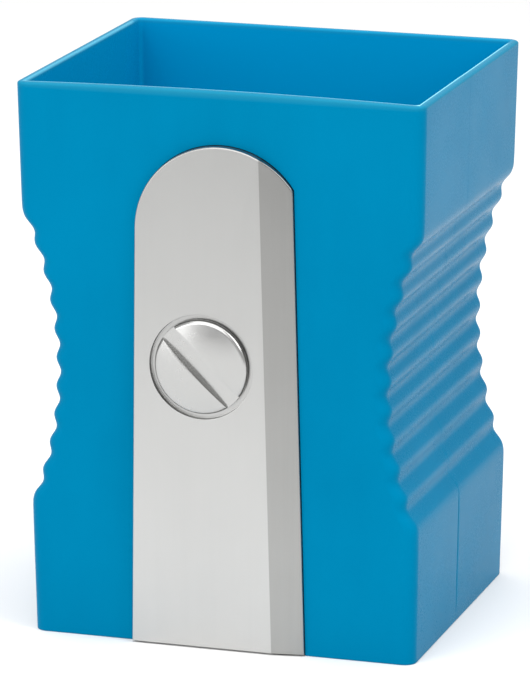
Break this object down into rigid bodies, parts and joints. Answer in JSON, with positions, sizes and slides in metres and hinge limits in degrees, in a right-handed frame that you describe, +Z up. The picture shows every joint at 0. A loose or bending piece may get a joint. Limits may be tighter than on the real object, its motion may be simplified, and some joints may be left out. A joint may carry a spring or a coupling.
{
  "type": "desk pencil pot",
  "caption": "Open-topped desk pencil pot shaped like a hand sharpener on end: waisted ribbed sides, bevelled blade plate and slotted screw on the front.",
  "frame": {"origin": "middle of the base, on the surface the pot stands on, half way between the front of the screw head and the back wall", "axes": "+Z up out of the open top, -Y out of the front face that carries the blade, +X along the width, to the right seen from the front"},
  "size_m": [0.0736, 0.0656, 0.1],
  "materials": {
    "blue_plastic": "satin-gloss moulded blue plastic",
    "satin_silver": "fine satin silver",
    "bright_silver": "soft bright silver",
    "spring_steel": "plain sprung steel"
  },
  "bodies": {
    "pot": {"front_shell": "blue_plastic", "rear_shell": "blue_plastic", "base_plate": "blue_plastic", "blade": "satin_silver"},
    "screw": {"blade_screw": "bright_silver", "push_nut": "spring_steel"}
  },
  "joints": [
    {"name": "screw_turn", "type": "hinge", "parent": "pot", "child": "screw", "pos_m": [-0.0028, -0.03007, 0.05139], "axis": [0, -0.9997, -0.0225], "continuous": true}
  ]
}
